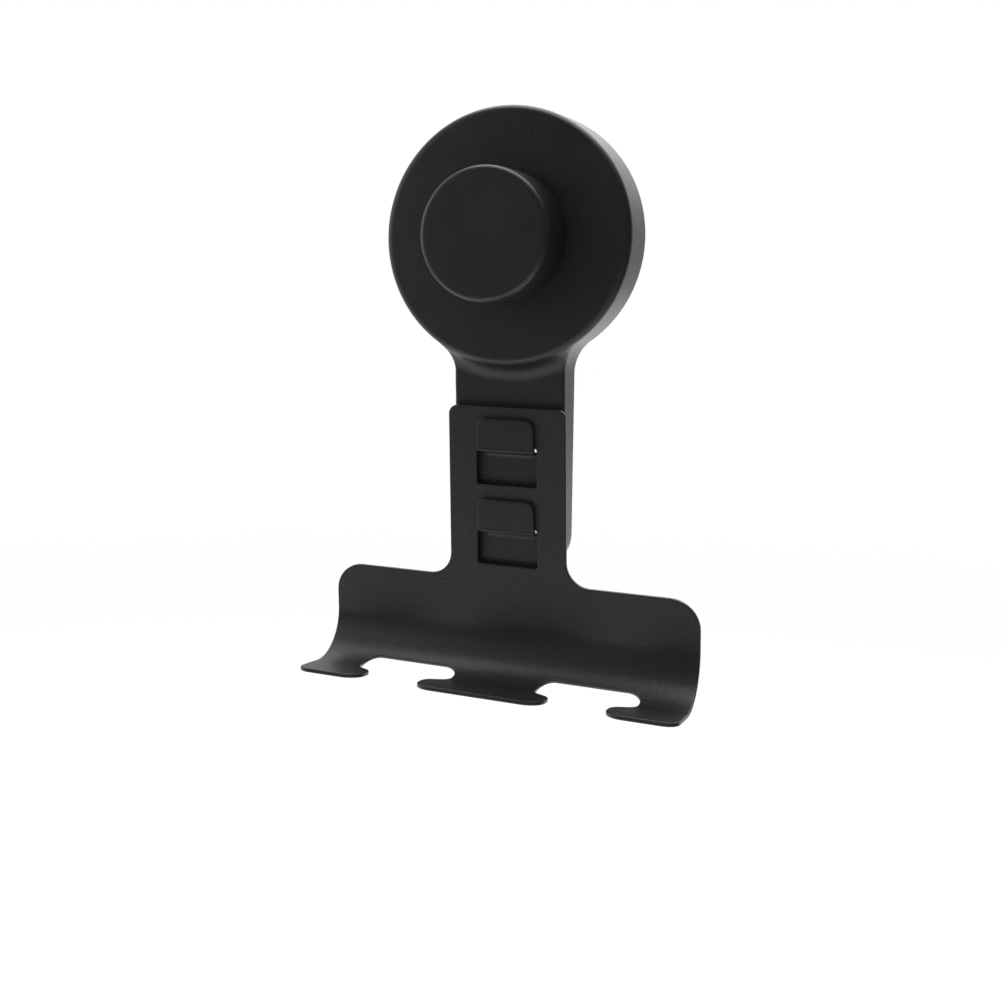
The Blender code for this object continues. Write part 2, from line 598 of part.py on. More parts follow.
def fold(x, distance, height):
    """Place a blank point: distance down the front face, height from the back face forwards."""
    if distance <= BEND_START:
        return Vector((x, -PLATE_GAP - height, -distance))
    angle = min(distance - BEND_START, BEND_END - BEND_START) / BEND_RADIUS
    radius = BEND_RADIUS + SHEET - height
    straight = max(0.0, distance - BEND_END)
    centre_y = -(PLATE_GAP + SHEET + BEND_RADIUS)
    y = centre_y + radius * math.cos(angle) - straight * math.sin(angle)
    z = -BEND_START - radius * math.sin(angle) - straight * math.cos(angle)
    return Vector((x, y, z))


def make_plate(finish, hang_frame):
    """Blank with its windows and slots, folded forwards along its lower part."""
    outlines = [rounded(plate_corners())]
    for index in range(HOOK_COUNT):
        top = WINDOW_TOP - index * HOOK_PITCH
        outlines.append(rectangle(WINDOW_WIDTH, top - WINDOW_HEIGHT, top, WINDOW_CORNER))
    bm = bmesh.new()
    edges = []
    for outline in outlines:
        loop = [bm.verts.new((x, 0.0, z)) for x, z in outline]
        edges += [bm.edges.new((loop[index - 1], corner)) for index, corner in enumerate(loop)]
    bmesh.ops.triangle_fill(bm, use_beauty=True, use_dissolve=False, edges=edges, normal=(0.0, -1.0, 0.0))
    for step in range(BEND_STEPS + 1):
        distance = BEND_START + (BEND_END - BEND_START) * step / BEND_STEPS
        bmesh.ops.bisect_plane(bm, geom=bm.verts[:] + bm.edges[:] + bm.faces[:], dist=MERGE,
                               plane_co=(0.0, 0.0, -distance), plane_no=(0.0, 0.0, 1.0))
    bmesh.ops.triangulate(bm, faces=bm.faces)
    back = bm.faces[:]
    front = bmesh.ops.extrude_face_region(bm, geom=back, use_keep_orig=True)
    raised = {item for item in front["geom"] if isinstance(item, bmesh.types.BMVert)}
    for vert in bm.verts:
        vert.co = fold(vert.co.x, -vert.co.z, SHEET if vert in raised else 0.0)
    add_object("slotted_plate", bm, finish, hang_frame)


def clear_scene():
    for item in list(bpy.data.objects):
        bpy.data.objects.remove(item, do_unlink=True)


def main():
    clear_scene()
    black_shell = material("black_shell", (0.028, 0.028, 0.027), 0.45)
    black_coat = material("black_coat", (0.030, 0.030, 0.029), 0.55)
    soft_pad = material("soft_pad", (0.05, 0.05, 0.052), 0.35)
    nylon = material("nylon", (0.55, 0.54, 0.50), 0.5)
    steel = material("steel", (0.56, 0.57, 0.58), 0.3, 1.0)
    brass = material("brass", (0.70, 0.52, 0.26), 0.3, 1.0)
    rubber = material("rubber", (0.035, 0.035, 0.035), 0.8)

    hang_frame = bpy.data.objects.new("hang_frame", None)
    hang_frame.location = (0.0, -ARM_DEPTH, -PLATE_DROP)
    hang_frame.rotation_euler = (LEAN, 0.0, 0.0)
    knob_frame = bpy.data.objects.new("knob_frame", None)
    for frame in (hang_frame, knob_frame):
        bpy.context.scene.collection.objects.link(frame)

    make_pad(soft_pad)
    make_pull_plate(nylon)
    make_stud(steel)
    make_end_stop(steel)
    make_housing(black_shell, hang_frame)
    make_bumper(rubber)
    make_thrust_washer(nylon)
    make_knob(black_shell, brass, knob_frame)
    make_plate(black_coat, hang_frame)


main()
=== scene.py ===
"""Looks of the wall holder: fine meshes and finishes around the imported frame, floor, light and camera.

Sizes are in millimetres unless a name says otherwise, and a depth is a distance out of the wall.
"""

import json
import math

import bmesh
import bpy
import numpy as np
from mathutils import Matrix, Vector


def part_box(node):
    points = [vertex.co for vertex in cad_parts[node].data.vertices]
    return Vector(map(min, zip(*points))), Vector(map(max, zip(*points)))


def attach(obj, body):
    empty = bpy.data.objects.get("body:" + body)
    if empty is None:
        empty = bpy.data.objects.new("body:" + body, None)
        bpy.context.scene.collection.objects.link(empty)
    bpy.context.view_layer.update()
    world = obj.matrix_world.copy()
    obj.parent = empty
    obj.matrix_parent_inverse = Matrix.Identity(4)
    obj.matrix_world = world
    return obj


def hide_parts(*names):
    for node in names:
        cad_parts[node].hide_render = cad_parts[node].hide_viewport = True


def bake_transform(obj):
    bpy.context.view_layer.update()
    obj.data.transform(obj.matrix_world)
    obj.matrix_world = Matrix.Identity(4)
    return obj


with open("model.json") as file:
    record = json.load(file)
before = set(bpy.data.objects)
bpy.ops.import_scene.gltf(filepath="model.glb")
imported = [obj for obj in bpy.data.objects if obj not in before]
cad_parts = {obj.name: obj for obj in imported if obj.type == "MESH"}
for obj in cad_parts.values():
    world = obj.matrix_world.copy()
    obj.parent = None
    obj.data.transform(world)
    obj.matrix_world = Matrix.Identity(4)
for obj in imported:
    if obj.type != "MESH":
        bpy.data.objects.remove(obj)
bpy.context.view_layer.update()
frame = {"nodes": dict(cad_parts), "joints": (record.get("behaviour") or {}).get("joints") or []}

MM = 0.001

# Places read from the frame
HOUSING_LOW, HOUSING_HIGH = (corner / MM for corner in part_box("housing"))
KNOB_LOW, KNOB_HIGH = (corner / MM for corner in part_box("knob_cap"))
PLATE_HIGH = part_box("slotted_plate")[1] / MM
PAD_LOW, PAD_HIGH = (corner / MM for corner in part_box("suction_pad"))
BUMPER_LOW, BUMPER_HIGH = (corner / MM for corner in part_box("wall_bumper"))
LIFT_AXIS = next(Vector(joint["axis"]) for joint in frame["joints"] if joint["name"] == "plate_lift")
LEAN = math.atan2(-LIFT_AXIS.y, LIFT_AXIS.z)

# Housing cup
CUP_RADIUS = HOUSING_HIGH.x
CUP_FRONT = 18.3
CUP_BACK = -HOUSING_HIGH.y
CUP_EDGE = 2.0
CUP_FOOT_EDGE = 0.5
CUP_WALL = 2.6
CUP_FACE = 2.5
CUP_INNER_EDGE = 1.2
GUIDE_RADIUS = 10.97
GUIDE_BACK = 8.6
GUIDE_KEY_RADIUS = 7.97
GUIDE_KEY_HALF = 6.55
STUD_BORE = 4.4
RIB_HALF = 0.8
RIB_END_MARGIN = 1.0
WASHER_RECESS_RADIUS = 10.3
WASHER_RECESS = 0.8

# Arm
ARM_HALF_WIDTH = 17.15
ARM_BOTTOM = HOUSING_LOW.z
ARM_BACK = 2.0
ARM_WALL = 2.2
ARM_CORNER = 11.3
ARM_SIDE_FILLET = 12.0
ARM_FACE_FILLET = 5.3
ARM_EDGE = 0.8
ARM_BACK_EDGE = 0.5
ARM_TOP_WEB = 1.0
POCKET_EDGE = 1.0

# Leaning face that the plate slides on: its depth at the height of the plate's top edge
FACE_DEPTH = 11.9
FACE_TOP = -49.9

# Hooks, measured along the face from the plate's top edge
HOOK_TOP = -3.35
HOOK_HEIGHT = 9.95
HOOK_HALF_WIDTH = 9.05
HOOK_TAPER = 0.2
HOOK_BACK = 2.7
HOOK_THICKNESS = 1.3
HOOK_CORNER = 2.6
HOOK_FOOT_CORNER = 0.8
HOOK_EDGE = 0.45
HOOK_PITCH = 24.5
HOOK_DROPS = (0.0, HOOK_PITCH)
ROOT_HALF_WIDTH = 7.55
ROOT_TOP = -12.3
ROOT_BOTTOM = -13.65
ROOT_FILLET = 1.8
ROOT_EDGE = 0.3
HOLE_HALF_WIDTH = 9.45
HOLE_TOP = -3.05
HOLE_BOTTOM = -13.55
HOLE_CORNER = 0.8
HOLE_EDGE = 0.3

# Bumper
LAND_MARGIN = 1.0
BUMPER_SEAT = 3.4
BUMPER_EDGE = 0.5

# Plate
PLATE_GAP = 1.2
SHEET = 1.2
SHEET_EDGE = 0.3
NECK_HALF_WIDTH = 18.3
NECK_CORNER = 2.7
NECK_FILLET = 7.1
NECK_LENGTH = 52.7
WIDE_HALF_WIDTH = PLATE_HIGH.x
WIDE_CORNER = 8.8
WIDE_HEIGHT = 14.5
BEND_RADIUS = 13.0
SHELF_RISE = math.radians(6.0)
SHELF_LENGTH = 13.3
SHELF_CORNER = 4.3
WINDOW_WIDTH = 18.9
WINDOW_TOP = -12.0
WINDOW_HEIGHT = 11.65
WINDOW_CORNER = 0.8
SLOT_OFFSET = 28.3
MOUTH_WIDTH = 17.6
LIP_DEPTH = 9.6
LIP_RAKE = 3.6
LIP_FRONT_CORNER = 5.6
LIP_BACK_CORNER = 4.0
HOLE_WIDTH = 30.2
HOLE_REACH = 21.4
SLOT_CORNER = 4.4
BEND_START = NECK_LENGTH + WIDE_HEIGHT
BEND_END = BEND_START + BEND_RADIUS * (math.radians(90.0) + LEAN + SHELF_RISE)
PLATE_END = BEND_END + SHELF_LENGTH

# Knob
KNOB_RADIUS = KNOB_HIGH.x
KNOB_FRONT = -KNOB_LOW.y
KNOB_BACK = -KNOB_HIGH.y
KNOB_EDGE = 1.5
KNOB_BACK_EDGE = 0.3
KNOB_EDGE_HOLD = 1.5 * KNOB_EDGE
KNOB_BACK_HOLD = 2 * KNOB_BACK_EDGE
KNOB_WALL = 1.8
KNOB_FACE = 2.2

# Suction pad
PAD_RADIUS = PAD_HIGH.x
PAD_FRONT = -PAD_LOW.y
PAD_RIM = 1.6
PAD_WEB = 2.4
PAD_WEB_RADIUS = 34.55
PAD_HUB_RADIUS = 14.7
PAD_HUB_RAMP = 1.2
PAD_POCKET_RADIUS = 12.3
PAD_POCKET_BACK = 1.6
PAD_POCKET_FRONT = 4.0
PAD_LIP_RADIUS = 7.9
PAD_EDGE = 0.4
PAD_SEGMENTS = 36
PAD_SEGMENT_STEPS = 6
PAD_WEB_STEPS = 14
PAD_SHARP = math.radians(50.0)

# Fineness of the meshes
GRID = 0.5
GRID_CELLS_BEFORE = 1.5
GRID_CELLS_AFTER = 2.5
SNAP_ROUNDS = 3
SNAP_PROBE = 0.01
LEAST_SLOPE = 0.5
TURN_STEPS = 192
ARC_STEPS = 10
EDGE_STEPS = 4
BEND_STEPS = 48
BEND_CUT_DISTANCE = 1e-4
MERGE_M = 1e-6

# Most values of a noise lie between these
NOISE_LOW = 0.3
NOISE_HIGH = 0.7

# Finishes: a gloss is how far a pattern shifts the roughness, down and up, and a tint is the part
# by which it darkens and lightens the colour
SHELL_COLOUR = (0.007, 0.007, 0.006)
SHELL_ROUGHNESS = 0.42
PIT_SIZE = 0.45
PIT_DEPTH = 0.055
PIT_GLOSS = (-0.04, 0.04)
SHEEN_SIZE = 20.0
SHEEN_GLOSS = (-0.02, 0.02)
SHEEN_TINT = 0.1

COAT_COLOUR = (0.0105, 0.0107, 0.0085)
COAT_ROUGHNESS = 0.40
PEEL_SIZE = 1.1
PEEL_DEPTH = 0.05
SAND_SIZE = 0.5
SAND_DEPTH = 0.05
SAND_GLOSS = (-0.05, 0.05)
SAND_TINT = 0.12
SPECK_SPACING = 3.0
SPECK_SIZE = 0.3
SPECK_SHARE = 0.3
SPECK_COLOUR = (0.03, 0.03, 0.028)

SOFT_COLOUR = (0.05, 0.05, 0.052)
SOFT_ROUGHNESS = 0.3
SOFT_SCATTER = 0.15
MOULD_RING_SPACING = 0.8
MOULD_RING_DEPTH = 0.018
BLOOM_SIZE = 14.0
BLOOM_GLOSS = (-0.02, 0.03)
BLOOM_TINT = 0.04

RUBBER_COLOUR = (0.035, 0.035, 0.035)
RUBBER_ROUGHNESS = 0.8
RUBBER_GRAIN = 0.25
RUBBER_DEPTH = 0.03
PATCH_SIZE = 14.0
PATCH_GLOSS = (-0.08, 0.05)
PATCH_TINT = 0.25

NYLON_COLOUR = (0.55, 0.54, 0.50)
NYLON_ROUGHNESS = 0.5
NYLON_SCATTER = 0.3
CLOUD_SIZE = 6.0
CLOUD_GLOSS = (-0.07, 0.07)
CLOUD_TINT = 0.07

STEEL_COLOUR = (0.56, 0.57, 0.58)
STEEL_MARK_SPACING = 0.12
BRASS_COLOUR = (0.70, 0.52, 0.26)
BRASS_MARK_SPACING = 0.2
METAL_ROUGHNESS = 0.3
METAL_ANISOTROPY = 0.5
MARK_DEPTH = 0.004
MARK_GLOSS = (-0.05, 0.05)
SMEAR_SIZE = 3.0
SMEAR_GLOSS = (-0.04, 0.06)
SMEAR_TINT = 0.08

# Photograph's size and the camera fitted to it: focal length and optical centre in its pixels
PHOTO_SIZE = 1001.0
FOCAL_PIXELS = 1269.38
CENTRE_PIXEL = (400.0, 388.0)
CAMERA_PLACE = (129.414, -364.701, -14.511)
CAMERA_YAW = math.radians(25.061)
CAMERA_PITCH = math.radians(4.613)
CAMERA_ROLL = math.radians(0.388)
SENSOR_WIDTH = 36.0
CLIP_START_M = 0.01

# Studio, in metres and watts
FLOOR_HALF = 9.0
FLOOR_HEIGHT = -0.6
FLOOR_COLOUR = 0.96
FLOOR_FADE_START = 0.8
FLOOR_FADE_END = 3.0
LAMP_TARGET = (0.0, -0.02, -0.04)
LEFT_PLACE = (-0.39, -0.24, 0.09)
LEFT_SIZE = (0.3, 0.3)
LEFT_POWER = 0.42
TOP_PLACE = (0.0, 0.2, 0.6)
TOP_SIZE = (0.75, 1.05)
TOP_POWER = 7.0
BACK_HIGH_PLACE = (0.03, 0.7, 0.27)
BACK_LOW_PLACE = (0.03, 0.7, -0.33)
BACK_SIZE = (0.35, 0.35)
BACK_POWER = 0.36

# Upright cards, in metres: the (x, y) of their two sides, their lower and upper heights, and their grey
DRAPE_LEFT = (-1.7, -0.62)
DRAPE_RIGHT = (1.7, -0.62)
DRAPE_HEIGHTS = (-0.37, 2.9)
DRAPE_COLOUR = 0.075
SIDE_CARD_NEAR = (0.6, -0.45)
SIDE_CARD_FAR = (0.6, 0.45)
SIDE_CARD_HEIGHTS = (-0.58, 0.8)
SIDE_CARD_COLOUR = 0.02
RIGHT_FLAG_LEFT = (0.12, 0.6)
RIGHT_FLAG_RIGHT = (0.6, 0.6)
RIGHT_FLAG_HEIGHTS = (-0.16, 0.12)
LEFT_FLAG_LEFT = (-0.6, 0.6)
LEFT_FLAG_RIGHT = (-0.2, 0.6)
LEFT_FLAG_HEIGHTS = (-0.22, 0.1)
FLAG_COLOUR = 0.52


def arc(centre, radius, start, end, steps=ARC_STEPS):
    """Points along an arc between two angles, both ends included."""
    angles = [start + (end - start) * step / steps for step in range(steps + 1)]
    return [(centre[0] + radius * math.cos(a), centre[1] + radius * math.sin(a)) for a in angles]


def rounded(corners, steps=ARC_STEPS):
    """Outline of a polygon whose corners, each (x, z, radius), are rounded by arcs."""
    outline = []
    for index, (x, z, radius) in enumerate(corners):
        corner = Vector((x, z))
        to_last = (Vector(corners[index - 1][:2]) - corner).normalized()
        to_next = (Vector(corners[(index + 1) % len(corners)][:2]) - corner).normalized()
        half = to_last.angle(to_next) / 2
        centre = corner + (to_last + to_next).normalized() * (radius / math.sin(half))
        start = corner + to_last * (radius / math.tan(half)) - centre
        end = corner + to_next * (radius / math.tan(half)) - centre
        first = math.atan2(start.y, start.x)
        sweep = math.remainder(math.atan2(end.y, end.x) - first, 2 * math.pi)
        outline += arc(centre, radius, first, first + sweep, steps)
    return outline


def shrunk(outline, inset):
    """Outline moved inwards by the inset along its own normals. It runs counter-clockwise."""
    points = np.array(outline)
    along = np.roll(points, -1, axis=0) - np.roll(points, 1, axis=0)
    along /= np.linalg.norm(along, axis=1, keepdims=True)
    return (points + inset * np.column_stack((-along[:, 1], along[:, 0]))).tolist()


def counter_clockwise(outline):
    """The outline, turned round if it runs clockwise."""
    points = np.array(outline)
    nexts = np.roll(points, -1, axis=0)
    area = np.sum(points[:, 0] * nexts[:, 1] - nexts[:, 0] * points[:, 1])
    return outline if area > 0 else outline[::-1]


def smooth_object(mesh, finish):
    """Object of a mesh in metres, with the mesh's name, smooth and dressed."""
    mesh.shade_smooth()
    mesh.materials.append(finish)
    made = bpy.data.objects.new(mesh.name, mesh)
    bpy.context.scene.collection.objects.link(made)
    return made


def finish_mesh(name, bm, finish):
    """Turn a bmesh in millimetres into a smooth object in metres, faces outward."""
    bmesh.ops.scale(bm, vec=(MM, MM, MM), verts=bm.verts)
    bmesh.ops.remove_doubles(bm, verts=bm.verts, dist=MERGE_M)
    bmesh.ops.recalc_face_normals(bm, faces=bm.faces)
    if bm.calc_volume(signed=True) < 0:
        bmesh.ops.reverse_faces(bm, faces=bm.faces)
    mesh = bpy.data.meshes.new(name)
    bm.to_mesh(mesh)
    bm.free()
    return smooth_object(mesh, finish)


def turned(name, profile, finish):
    """Smooth solid of revolution about the knob's axis, from (radius, depth) points."""
    bm = bmesh.new()
    verts = [bm.verts.new((radius, -depth, 0.0)) for radius, depth in profile]
    edges = [bm.edges.new(pair) for pair in zip(verts, verts[1:])]
    if profile[0][0] > 0:
        edges.append(bm.edges.new((verts[-1], verts[0])))
    bmesh.ops.spin(bm, geom=verts + edges, axis=(0.0, 1.0, 0.0), cent=(0.0, 0.0, 0.0),
                   angle=2 * math.pi, steps=TURN_STEPS, use_merge=True)
    return finish_mesh(name, bm, finish)


def rounded_max(a, b, radius):
    """Distance field of an intersection whose edge is rounded."""
    inner = np.minimum(np.maximum(a, b), -radius)
    return inner + np.hypot(np.maximum(a + radius, 0.0), np.maximum(b + radius, 0.0))


def rounded_min(a, b, radius):
    """Distance field of a union whose inner corner has a fillet."""
    outer = np.maximum(np.minimum(a, b), radius)
    return outer - np.hypot(np.maximum(radius - a, 0.0), np.maximum(radius - b, 0.0))


def rounded_box(u, v, low, high, radius):
    """Distance field of a rectangle with rounded corners, between two (u, v) corners."""
    half_u, half_v = (high[0] - low[0]) / 2 - radius, (high[1] - low[1]) / 2 - radius
    out_u = np.abs(u - (low[0] + high[0]) / 2) - half_u
    out_v = np.abs(v - (low[1] + high[1]) / 2) - half_v
    outside = np.hypot(np.maximum(out_u, 0.0), np.maximum(out_v, 0.0))
    return outside + np.minimum(np.maximum(out_u, out_v), 0.0) - radius


def face_frame(depth, z):
    """Height in front of the leaning face, and place up it from the plate's top edge."""
    out = depth - FACE_DEPTH
    up = z - FACE_TOP
    return out * math.cos(LEAN) - up * math.sin(LEAN), up * math.cos(LEAN) + out * math.sin(LEAN)


def arm_side(x, z):
    """Field of the arm's front view: straight sides, round lower corners, flare onto the cup."""
    centre_x = ARM_HALF_WIDTH + ARM_SIDE_FILLET
    centre_z = -math.sqrt((CUP_RADIUS + ARM_SIDE_FILLET) ** 2 - centre_x ** 2)
    strip = rounded_box(x, z, (-ARM_HALF_WIDTH, ARM_BOTTOM), (ARM_HALF_WIDTH, CUP_RADIUS), ARM_CORNER)
    flare = ARM_SIDE_FILLET - np.hypot(np.abs(x) - centre_x, z - centre_z)
    below_cup = centre_x * z < centre_z * np.abs(x)
    return np.where(z < centre_z, strip, np.where(below_cup, flare, np.hypot(x, z) - CUP_RADIUS))


def cup_fields(radial, depth):
    """Distance fields of the cup's outside and of the cavity behind its face."""
    outside = rounded_max(radial - CUP_RADIUS, depth - CUP_FRONT, CUP_EDGE)
    outside = rounded_max(outside, CUP_BACK - depth, CUP_FOOT_EDGE)
    cavity = rounded_max(radial - (CUP_RADIUS - CUP_WALL), depth - (CUP_FRONT - CUP_FACE), CUP_INNER_EDGE)
    return outside, cavity


def arm_field(x, z, depth, radial, above):
    """Field of the arm as a solid bar, with a fillet onto the cup's side."""
    arm = rounded_min(above, radial - CUP_RADIUS, ARM_FACE_FILLET)
    arm = rounded_max(arm, arm_side(x, z), ARM_EDGE)
    arm = rounded_max(arm, ARM_BACK - depth, ARM_BACK_EDGE)
    return rounded_max(arm, depth - CUP_FRONT, CUP_EDGE)


def pocket_field(x, up, above):
    """Field of the hollow that is open at the arm's back."""
    half = ARM_HALF_WIDTH - ARM_WALL
    top = -CUP_RADIUS - ARM_TOP_WEB - FACE_TOP
    bottom = ARM_BOTTOM - FACE_TOP + ARM_WALL
    pocket = rounded_box(x, up, (-half, bottom), (half, top), ARM_WALL)
    corner = rounded_box(x, up, (-half, bottom), (half, top + ARM_CORNER), ARM_CORNER - ARM_WALL)
    return rounded_max(np.maximum(pocket, corner), above + ARM_WALL, POCKET_EDGE)


def guide_field(x, z, depth, radial):
    """Field of the round guide behind the cup's face and the four ribs that brace it."""
    rib = np.minimum(np.abs(x - z), np.abs(x + z)) / math.sqrt(2) - RIB_HALF
    rib = rounded_max(rib, GUIDE_BACK + RIB_HALF - depth, CUP_FOOT_EDGE)
    rib = np.maximum(rib, radial - CUP_RADIUS + RIB_END_MARGIN)
    guide = rounded_max(radial - GUIDE_RADIUS, GUIDE_BACK - depth, CUP_FOOT_EDGE)
    return np.maximum(np.minimum(rib, guide), depth - (CUP_FRONT - CUP_FACE / 2))


def with_bores(body, x, depth, radial):
    """The body less the guide's keyed bore, the stud's bore and the washer's recess."""
    key = np.maximum(radial - GUIDE_KEY_RADIUS, np.abs(x) - GUIDE_KEY_HALF)
    body = rounded_max(body, -np.maximum(key, depth - (CUP_FRONT - CUP_FACE)), HOLE_EDGE)
    body = rounded_max(body, STUD_BORE - radial, HOLE_EDGE)
    recess = np.maximum(radial - WASHER_RECESS_RADIUS, CUP_FRONT - WASHER_RECESS - depth)
    return rounded_max(body, -recess, HOLE_EDGE)


def with_hook_root(body, x, place, above):
    """The body less the mould opening above one hook's root, and with that root."""
    hole = rounded_box(x, place, (-HOLE_HALF_WIDTH, HOLE_BOTTOM), (HOLE_HALF_WIDTH, HOLE_TOP), HOLE_CORNER)
    hole = np.maximum(hole, np.abs(above + ARM_WALL / 2) - ARM_WALL)
    body = rounded_max(body, -hole, HOLE_EDGE)
    slab = np.maximum(place - ROOT_TOP, ROOT_BOTTOM - place)
    root = np.maximum(rounded_min(above, slab, ROOT_FILLET), place - ROOT_TOP)
    root = np.maximum(root, ROOT_BOTTOM - 2 * ROOT_FILLET - place)
    reach = np.maximum(above - HOOK_BACK - HOOK_THICKNESS / 2, -ARM_WALL + ROOT_EDGE - above)
    root = rounded_max(np.maximum(root, reach), np.abs(x) - ROOT_HALF_WIDTH, ROOT_EDGE)
    return np.minimum(body, root)


def land_field(x, z, depth, above):
    """Field of the bumper's seat, a block across the arm's lower end."""
    half = BUMPER_HIGH.x + LAND_MARGIN
    low = (-half, ARM_BOTTOM + ARM_WALL / 2)
    high = (half, BUMPER_HIGH.z + LAND_MARGIN)
    land = np.maximum(rounded_box(x, z, low, high, ARM_BACK_EDGE), arm_side(x, z) + ARM_WALL / 2)
    return np.maximum(rounded_max(land, BUMPER_SEAT - depth, HOLE_EDGE), above + ARM_WALL / 2)


def housing_field(x, y, z):
    """Distance field of the moulded housing, negative inside."""
    depth = -y
    radial = np.hypot(x, z)
    above, up = face_frame(depth, z)
    cup, cavity = cup_fields(radial, depth)
    arm = np.maximum(arm_field(x, z, depth, radial, above), CUP_RADIUS - CUP_WALL / 2 - radial)
    body = np.maximum(np.minimum(cup, arm), -cavity)
    body = rounded_max(body, -pocket_field(x, up, above), ARM_BACK_EDGE)
    body = rounded_min(body, guide_field(x, z, depth, radial), CUP_FOOT_EDGE)
    body = with_bores(body, x, depth, radial)
    for drop in HOOK_DROPS:
        body = with_hook_root(body, x, up + drop, above)
    return np.minimum(body, land_field(x, z, depth, above))


def axis_edges(value, axis):
    """The grid's edges along one axis: which cross the surface, how far along, and which start inside."""
    near = [slice(None)] * 3
    far = [slice(None)] * 3
    near[axis] = slice(None, -1)
    far[axis] = slice(1, None)
    start, end = value[tuple(near)], value[tuple(far)]
    crossed = (start < 0) != (end < 0)
    share = np.where(crossed, start / np.where(crossed, start - end, 1.0), 0.0)
    return crossed, share, start < 0


def cell_points(edges, axes, step):
    """One point in each cell that the surface passes through, and every cell's index among them, or -1."""
    cells = tuple(len(places) - 1 for places in axes)
    count = np.zeros(cells, int)
    total = np.zeros(cells + (3,))
    for axis, (crossed, share, _) in enumerate(edges):
        others = [a for a in range(3) if a != axis]
        for shift in np.ndindex(2, 2):
            side = [slice(None)] * 3
            for other, s in zip(others, shift):
                side[other] = slice(s, s + cells[other])
            here = crossed[tuple(side)]
            count += here
            total[..., axis] += here * share[tuple(side)]
            for other, s in zip(others, shift):
                total[..., other] += here * s
    used = count > 0
    index = np.full(cells, -1)
    index[used] = np.arange(used.sum())
    base = np.stack([axes[a][:-1][i] for a, i in enumerate(np.nonzero(used))], axis=1)
    return base + step * total[used] / count[used][:, None], index


def snapped(points, field, step):
    """The points, moved along the field's slope onto its zero surface."""
    for _ in range(SNAP_ROUNDS):
        here = field(*points.T)
        rises = [field(*(points + SNAP_PROBE * unit).T) - field(*(points - SNAP_PROBE * unit).T)
                 for unit in np.eye(3)]
        slope = np.stack([rise / (2 * SNAP_PROBE) for rise in rises], axis=1)
        move = here[:, None] * slope / np.maximum((slope ** 2).sum(1), LEAST_SLOPE ** 2)[:, None]
        points = points - np.clip(move, -step / 2, step / 2)
    return points


def edge_faces(edges, index):
    """A quad round each edge that crosses the surface, between the points of its four cells."""
    faces = []
    for axis, (crossed, _, starts_inside) in enumerate(edges):
        first, second = [a for a in range(3) if a != axis]
        place = np.stack(np.nonzero(crossed), axis=1)
        flip = starts_inside[crossed] != (axis == 1)
        ring = []
        for s, t in ((0, 0), (1, 0), (1, 1), (0, 1)):
            cell = place.copy()
            cell[:, first] -= s
            cell[:, second] -= t
            ring.append(index[tuple(cell.T)])
        quad = np.stack(ring, axis=1)
        faces.append(np.where(flip[:, None], quad[:, ::-1], quad))
    return np.concatenate(faces)


def surface_of(field, low, high, step):
    """Closed quad mesh of a field's zero surface: one point per grid cell that it passes through."""
    axes = [np.arange(a - GRID_CELLS_BEFORE * step, b + GRID_CELLS_AFTER * step, step)
            for a, b in zip(low, high)]
    value = field(*np.meshgrid(*axes, indexing="ij"))
    edges = [axis_edges(value, axis) for axis in range(3)]
    points, index = cell_points(edges, axes, step)
    return snapped(points, field, step), edge_faces(edges, index)


def add_rings(bm, rings):
    """Join matching loops of verts by quads."""
    for low, high in zip(rings, rings[1:]):
        for index, corner in enumerate(low):
            bm.faces.new((low[index - 1], corner, high[index], high[index - 1]))


def edge_steps(thickness, edge):
    """Pairs (height, inset) from the back face round both rounded edges to the front face."""
    turn = [(edge - edge * math.cos(a), edge - edge * math.sin(a))
            for a in (0.5 * math.pi * step / EDGE_STEPS for step in range(EDGE_STEPS + 1))]
    back = [(0.0, 2 * edge)] + turn
    return back + [(thickness - height, inset) for height, inset in reversed(back)]


def rounded_slab(outline, back, thickness, edge):
    """Flat solid with rounded edges over an (x, z) outline, from the given depth outwards."""
    bm = bmesh.new()
    rings = [[bm.verts.new((x, -back - height, z)) for x, z in shrunk(outline, inset)]
             for height, inset in edge_steps(thickness, edge)]
    add_rings(bm, rings)
    bm.faces.new(rings[0])
    bm.faces.new(rings[-1])
    return bm


def face_matrix():
    """From the leaning face's own frame to the row frame, in millimetres."""
    return Matrix.Translation((0.0, -FACE_DEPTH, FACE_TOP)) @ Matrix.Rotation(LEAN, 4, "X")


def make_hook(name, drop, finish):
    """One hook's tongue, a flat tab with rounded edges that stands in front of the plate."""
    top = HOOK_TOP - drop
    bottom = top - HOOK_HEIGHT
    narrow = HOOK_HALF_WIDTH - HOOK_TAPER
    outline = rounded([(-HOOK_HALF_WIDTH, bottom, HOOK_FOOT_CORNER),
                       (HOOK_HALF_WIDTH, bottom, HOOK_FOOT_CORNER),
                       (narrow, top, HOOK_CORNER), (-narrow, top, HOOK_CORNER)])
    bm = rounded_slab(outline, HOOK_BACK, HOOK_THICKNESS, HOOK_EDGE)
    bmesh.ops.transform(bm, matrix=face_matrix(), verts=bm.verts)
    return finish_mesh(name, bm, finish)


def make_housing(finish):
    """Cup and arm in one moulding, and the two hooks, which stand on roots that belong to it."""
    points, faces = surface_of(housing_field, HOUSING_LOW, HOUSING_HIGH, GRID)
    mesh = bpy.data.meshes.new("housing_shell")
    mesh.from_pydata((points * MM).tolist(), [], faces.tolist())
    shell = smooth_object(mesh, finish)
    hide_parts("housing")
    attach(shell, "base")
    for name, drop in zip(("upper_hook", "lower_hook"), HOOK_DROPS):
        hook = make_hook(name, drop, finish)
        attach(hook, "base")


